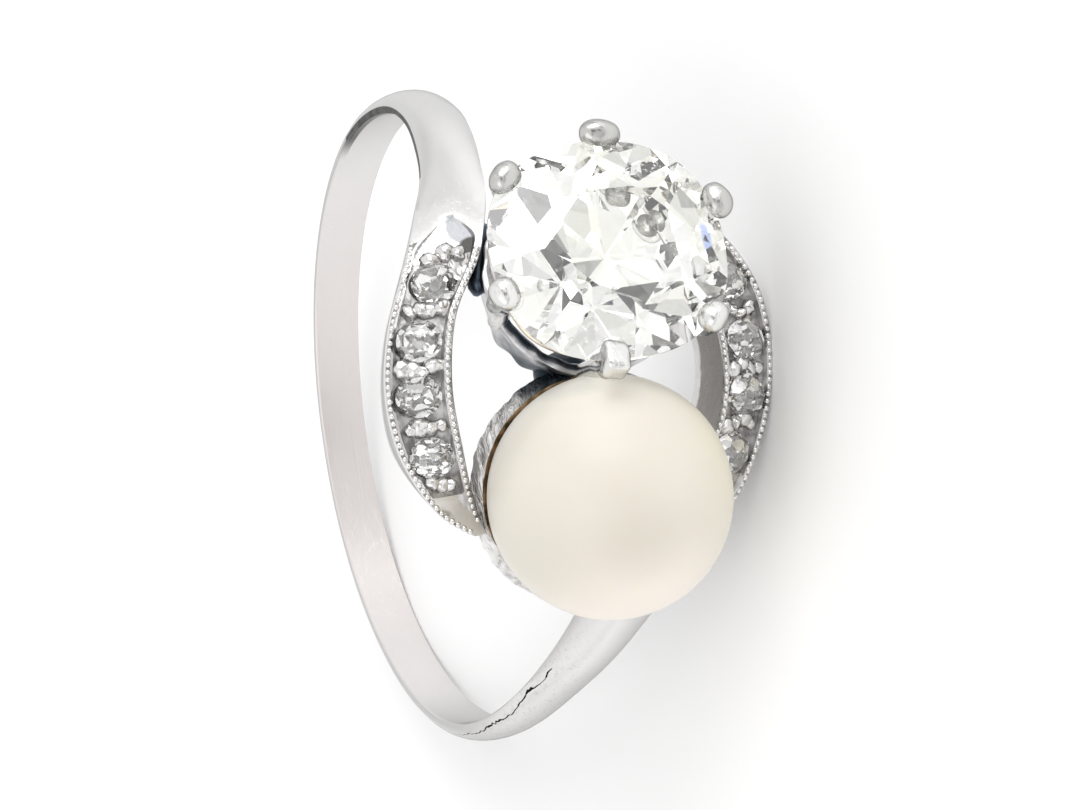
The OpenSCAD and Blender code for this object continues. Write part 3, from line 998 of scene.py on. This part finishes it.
piece("collet", make_collet(), [COLLET_METAL, BRIGHT], "ring_mount")
piece("collet_rim", make_collet_rim(), [WARM], "ring_mount")
piece("painted_shadow_plate", make_shadow_plate(), [LINING, SOLDER_AND_SHADOW], "ring_mount")
piece("claws", make_claws(), [SHADED_CLAW, LIT_STEM, LIT_CLAW], "ring_mount")
piece("pearl_cup", make_cup(), [CUP_METAL, CUP_INSIDE], "ring_mount")
piece("solder", make_solder(), [SOLDER_AND_SHADOW], "ring_mount")


# Stones

TINT_PLACE = (4.2, -1.9, 14.9)
# Patches of colour painted on the diamond as its fire, each a place and a colour
PAINTED_FIRE = [((3.02, -3.12, 14.99), (0.25, 0.38, 0.95)), ((2.1, -2.75, 14.8), (0.97, 0.80, 0.66))]
PAINTED_FIRE_SQUASH = 0.4


def clear_stone(name, tint, tint_place, fire_patches=()):
    """Diamond: clear with polished facets, tinted near one place, with a few patches of colour painted on as
    light for its fire.
    """
    material, here = new_material(name, Roughness=0.0, IOR=2.42, Transmission_Weight=1.0)
    tinted = here.grain(1.6, 2).step(0.68, 0.35) * here.away_from(tint_place).step(4.6, 1.6)
    base = tinted.shade((0.985, 0.985, 0.975), tint)
    for place, tone in fire_patches:
        slim = here.scaled(PAINTED_FIRE_SQUASH, 1, 1).away_from((place[0] * PAINTED_FIRE_SQUASH, place[1], place[2]))
        base = slim.step(0.27, 0.17).shade(base, tone)
    return feed(material, Base_Color=base)


# Places on the pearl, from its middle
GREEN_SIDE, PINK_SIDE = Vector((0.6, -3.4, 1.0)), Vector((-3.2, 0.0, 0.8))
# Where a dark reflection is painted, and where painted light and a glow lift the side under the diamond out
# of its shade
PAINTED_DARK_REFLECTION, LIT_SIDE = Vector((-1.4, 0.5, 3.1)), Vector((3.3, 0.3, 0.6))
PIT = Vector((-2.94, -1.55, 1.0))
LIT_GLOW = 0.36


def nacre(name):
    """Pearl: cream, greener on one side and pinker on the other, with a soft deep lustre and painted light
    and shade.
    """
    material, here = new_material(
        name, IOR=1.5, Coat_Weight=0.18, Coat_Roughness=0.22, Emission_Strength=1.0,
        Subsurface_Weight=0.45, Subsurface_Scale=1.2 * MM, Subsurface_Radius=(1.0, 0.8, 0.5),
    )
    cloud = here.grain(2.6, 3)
    green, pink, dark_reflection, lit, pit = (
        here.away_from(PEARL_PLACE + place) for place in (GREEN_SIDE, PINK_SIDE, PAINTED_DARK_REFLECTION, LIT_SIDE, PIT)
    )
    base = painted(
        cloud.shade((0.73, 0.69, 0.605), (0.76, 0.725, 0.65)),
        ((green + cloud * 0.8).step(4.4, 1.2) * 0.7, (0.745, 0.70, 0.55)),
        # pinker there, and painted lighter as light
        ((pink + cloud * 0.8).step(4.0, 1.2) * 0.7, (0.94, 0.86, 0.785)),
        # a painted dark reflection
        ((dark_reflection + cloud * 0.6).step(2.2, 0.3) * 0.5, (0.66, 0.62, 0.53)),
        # painted light on the side under the diamond
        ((lit + cloud * 0.4).step(2.3, 0.5), (0.97, 0.94, 0.86)),
        (pit.step(0.07, 0.02) * 0.6, (0.45, 0.40, 0.32)),
    )
    return feed(
        material,
        Base_Color=base,
        # a painted glow on the side under the diamond, where the diamond shades it
        Emission_Color=(lit.step(3.3, 0.4) * LIT_GLOW).shade((0, 0, 0), (0.95, 0.92, 0.83)),
        Roughness=cloud * 0.08 + 0.38,
        Normal=bumped(here.grain(0.9, 3), 0.1, 0.03),
    )


DIAMOND = clear_stone("old_cut_diamond", (0.93, 0.935, 0.78), TINT_PLACE, PAINTED_FIRE)
ROSE = clear_stone("rose_cut_diamond", (0.90, 0.88, 0.84), (0, 0, 12.5))
NACRE = nacre("pearl_nacre")


def grind(bm, azimuth, tilt, reach):
    """Grinds one flat facet: its normal leans tilt degrees from straight up, towards the azimuth."""
    turn, lean = radians(azimuth), radians(tilt)
    normal = Vector((cos(turn) * sin(lean), sin(turn) * sin(lean), cos(lean)))
    cut = bmesh.ops.bisect_plane(
        bm, geom=bm.verts[:] + bm.edges[:] + bm.faces[:], dist=1e-5,
        plane_co=normal * reach, plane_no=normal, clear_outer=True,
    )
    edges = [e for e in cut["geom_cut"] if isinstance(e, bmesh.types.BMEdge)]
    if edges:
        bmesh.ops.edgeloop_fill(bm, edges=edges)


def grind_through(bm, azimuth, tilt, out, up):
    """Grinds a facet through the point that lies so far out from the axis and up from the girdle's middle."""
    lean = radians(tilt)
    grind(bm, azimuth, tilt, out * sin(lean) + up * cos(lean))


def support_r(azimuth):
    """How far the girdle reaches in one direction."""
    near = range(int(azimuth) - 40, int(azimuth) + 41)
    return max(outline_r(angle) * cos(radians(angle - azimuth)) for angle in near)


# How many degrees the halves are steeper and the stars flatter than the kites and mains beside them
UPPER_STEEPER, LOWER_STEEPER, STAR_FLATTER = 6, 2.6, 13
MAIN_SHARE, HALF_SHARE, STAR_SHARE, CULET_SHARE = 0.92, 0.997, 0.94, 1.06


def crown_tilt(wide):
    return degrees(atan2(CROWN_H, wide * (1 - TABLE)))


def pavilion_slope(wide):
    return degrees(atan2(PAVILION_H, wide * MAIN_SHARE))


def make_diamond():
    """An old cut: table, 8 stars, 8 kites and 16 halves above, and 8 mains, 16 halves and culet below."""
    uneven = random.Random(45)
    spare = 0.3
    bm = bmesh.new()
    bmesh.ops.create_circle(bm, cap_ends=True, segments=48, radius=1)
    for v in bm.verts:
        azimuth = degrees(atan2(v.co.y, v.co.x))
        v.co = Vector((v.co.x, v.co.y, 0)) * outline_r(azimuth)
        v.co.z = -PAVILION_H - spare
    grown = bmesh.ops.extrude_face_region(bm, geom=bm.faces[:])["geom"]
    top = [v for v in grown if isinstance(v, bmesh.types.BMVert)]
    bmesh.ops.translate(bm, vec=(0, 0, PAVILION_H + CROWN_H + 2 * spare), verts=top)
    turn_faces_out(bm)
    half = GIRDLE_H / 2
    for k in range(8):
        azimuth = 22.5 + 45 * k + uneven.uniform(-1.5, 1.5)
        wide = support_r(azimuth)
        grind_through(bm, azimuth, crown_tilt(wide) + uneven.uniform(-0.6, 0.6), wide, half)
        slope = pavilion_slope(wide) + uneven.uniform(-0.6, 0.6)
        grind_through(bm, azimuth, 180 - slope, wide, -half)
    grind(bm, 0, 0, half + CROWN_H)
    grind(bm, 0, 180, half + PAVILION_H * CULET_SHARE)
    for k in range(16):
        azimuth = 11.25 + 22.5 * k + uneven.uniform(-1, 1)
        wide = support_r(azimuth)
        edge = wide * HALF_SHARE
        tilt = crown_tilt(wide) + UPPER_STEEPER + uneven.uniform(-0.5, 0.5)
        grind_through(bm, azimuth, tilt, edge, half)
        slope = pavilion_slope(wide) + LOWER_STEEPER + uneven.uniform(-0.4, 0.4)
        grind_through(bm, azimuth, 180 - slope, edge, -half)
    for k in range(8):
        azimuth = 45 * k + uneven.uniform(-1.5, 1.5)
        wide = support_r(azimuth)
        tilt = crown_tilt(wide) - STAR_FLATTER + uneven.uniform(-0.8, 0.8)
        grind_through(bm, azimuth, tilt, wide * TABLE * STAR_SHARE, half + CROWN_H)
    bm.transform(AT_DIAMOND)
    return bm


# Each ring of a rose cut's facets: how many, their tilt, and the point they pass through, as a share of the
# girdle's radius and a height
ROSE_FACETS = [(8, 50, 1, 0.02), (4, 22, 0.66, 0.27), (4, 146, 1, -0.12)]


def make_rose(number):
    """A small rose cut, with a dome of facets above and four more that narrow it below."""
    bm = bmesh.new()
    bmesh.ops.create_cone(bm, cap_ends=True, segments=24, radius1=1, radius2=1, depth=1.3)
    bmesh.ops.scale(bm, vec=(STONE_L / 2, STONE_W / 2, 1), verts=bm.verts)
    bmesh.ops.translate(bm, vec=(0, 0, 0.07), verts=bm.verts)
    turn = dice.uniform(-12, 12)
    for count, tilt, out, up in ROSE_FACETS:
        for k in range(count):
            azimuth = turn + 360 * k / count + dice.uniform(-6, 6)
            angle = radians(azimuth)
            wide = hypot(STONE_L / 2 * cos(angle), STONE_W / 2 * sin(angle))
            grind_through(bm, azimuth, tilt + dice.uniform(-3, 3), wide * out, up)
    grind(bm, dice.uniform(0, 360), dice.uniform(0, 5), STONE_DOME)
    half, (angle, size) = HALVES[number // 4], STONE_ROWS[number % 4]
    bm.transform(half @ crescent_frame(angle, -STONE_SINK) @ Matrix.Scale(size, 4))
    return bm


def make_pearl():
    """The pearl, a little out of round."""
    bm = bmesh.new()
    bmesh.ops.create_uvsphere(bm, u_segments=128, v_segments=96, radius=PEARL_R)
    for v in bm.verts:
        v.co *= 1 + 0.002 * noise.noise(v.co * 0.5)
    bm.transform(AT_CUP)
    return bm


piece("old_cut_diamond", make_diamond(), [DIAMOND], "diamond", smooth_below=0.1)
piece("pearl_ball", make_pearl(), [NACRE], "pearl")
for number in range(8):
    node = f"side_stone_{number + 1}"
    piece(f"rose_cut_{number + 1}", make_rose(number), [ROSE], node, smooth_below=0.1)


# Floor, light and camera


def make_floor():
    material = bpy.data.materials.new("pale_floor")
    material.use_nodes = True
    inputs = material.node_tree.nodes["Principled BSDF"].inputs
    inputs["Base Color"].default_value = (0.97, 0.97, 0.97, 1)
    inputs["Roughness"].default_value = 0.9
    bm = bmesh.new()
    bmesh.ops.create_grid(bm, x_segments=1, y_segments=1, size=3)
    add_mesh("floor", bm, [material])


# The camera as it was fitted to the photograph: its axes in the head-up frame, its distance in mm, its scale
# and the pixel at which the middle of the finger hole lies
ROW_TURN = TURN.to_3x3()
VIEW_RIGHT = ROW_TURN @ Vector((-0.1563, -0.9308, 0.3304))
VIEW_UP = ROW_TURN @ Vector((0.9854, -0.124, 0.1165))
VIEW_BACK = ROW_TURN @ Vector((-0.0675, 0.3438, 0.9366))
VIEW_DISTANCE, PIXELS_PER_MM = 326.6, 33.987
WIDTH, HEIGHT = 1080, 810
AIM = (446.858, 415.808)
SENSOR_W = 36


def make_camera():
    """A camera that sees the ring at the photograph's angle."""
    focal = PIXELS_PER_MM * VIEW_DISTANCE
    across, down = (WIDTH / 2 - AIM[0]) / focal, (HEIGHT / 2 - AIM[1]) / focal
    ahead = VIEW_RIGHT * across - VIEW_UP * down - VIEW_BACK
    ahead.normalize()
    right = (VIEW_RIGHT - ahead * VIEW_RIGHT.dot(ahead)).normalized()
    up = right.cross(ahead)
    data = bpy.data.cameras.new("camera")
    data.sensor_width = SENSOR_W
    data.lens = focal * SENSOR_W / WIDTH
    data.clip_start, data.clip_end = 0.01, 20
    turn = Matrix((right, up, -ahead)).transposed().to_4x4()
    place = Matrix.Translation((REST + VIEW_BACK * VIEW_DISTANCE) * MM) @ turn
    scene.camera = add_object("camera", data, place)


def softbox(name, toward, distance, size, power):
    """A square soft light in a direction from the ring, turned to face it. Distance and size are in m."""
    data = bpy.data.lights.new(name, "AREA")
    data.size = size
    data.energy = power
    toward = toward.normalized()
    turn = toward.to_track_quat("Z", "Y").to_matrix().to_4x4()
    add_object(name, data, Matrix.Translation(toward * distance) @ turn)


# Each flag: its direction by the camera's right and up, its half width in degrees and how much it darkens
Flag = namedtuple("Flag", "right up wide dark")
FLAGS = [
    Flag(0, 0.1, 9, 0.98),
    Flag(0.3, 0.2, 7, 0.98),
    Flag(-0.23, 0.31, 8, 0.98),
    Flag(0.6, -0.1, 10, 0.95),
    Flag(0.5, -0.7, 7, 0.95),
    Flag(0.525, 0.576, 13, 0.6),
]


def make_sky():
    """Uneven studio white with dark round flags, which the stones reflect."""
    world = bpy.data.worlds.new("studio")
    world.use_nodes = True
    scene.world = world
    tree = world.node_tree
    way = Wire(tree.nodes.new("ShaderNodeTexCoord").outputs["Generated"])
    glow = way.part(2).step(0.0, 0.5) * 0.3 + 0.86
    glow = glow * (way.grain(0.45, 1).step(0.35, 0.65) * 0.4 + 0.72)
    for flag in FLAGS:
        back = sqrt(1 - flag.right**2 - flag.up**2)
        toward = tuple(VIEW_RIGHT * flag.right + VIEW_UP * flag.up + VIEW_BACK * back)
        facing = way.node("ShaderNodeVectorMath", {0: way, 1: toward}, out=1, operation="DOT_PRODUCT")
        outside, inside = (cos(radians(flag.wide * share)) for share in (1, 0.8))
        glow = glow * (1 - facing.step(outside, inside) * flag.dark)
    tree.links.new(glow.shade((0, 0, 0), (1, 1, 1)).socket, tree.nodes["Background"].inputs["Color"])


make_floor()
make_camera()
make_sky()
softbox("fill_softbox", VIEW_BACK * 0.8 - VIEW_RIGHT * 0.42 - VIEW_UP * 0.45, 0.42, 0.26, 0.14)
softbox("key_softbox", VIEW_UP * 0.81 + VIEW_BACK * 0.57 - VIEW_RIGHT * 0.13, 0.4, 0.3, 0.55)
scene.view_settings.view_transform = "Standard"
# Light crosses a cut stone many times before it leaves
scene.cycles.max_bounces = 24
scene.cycles.glossy_bounces = 16
scene.cycles.transmission_bounces = 16
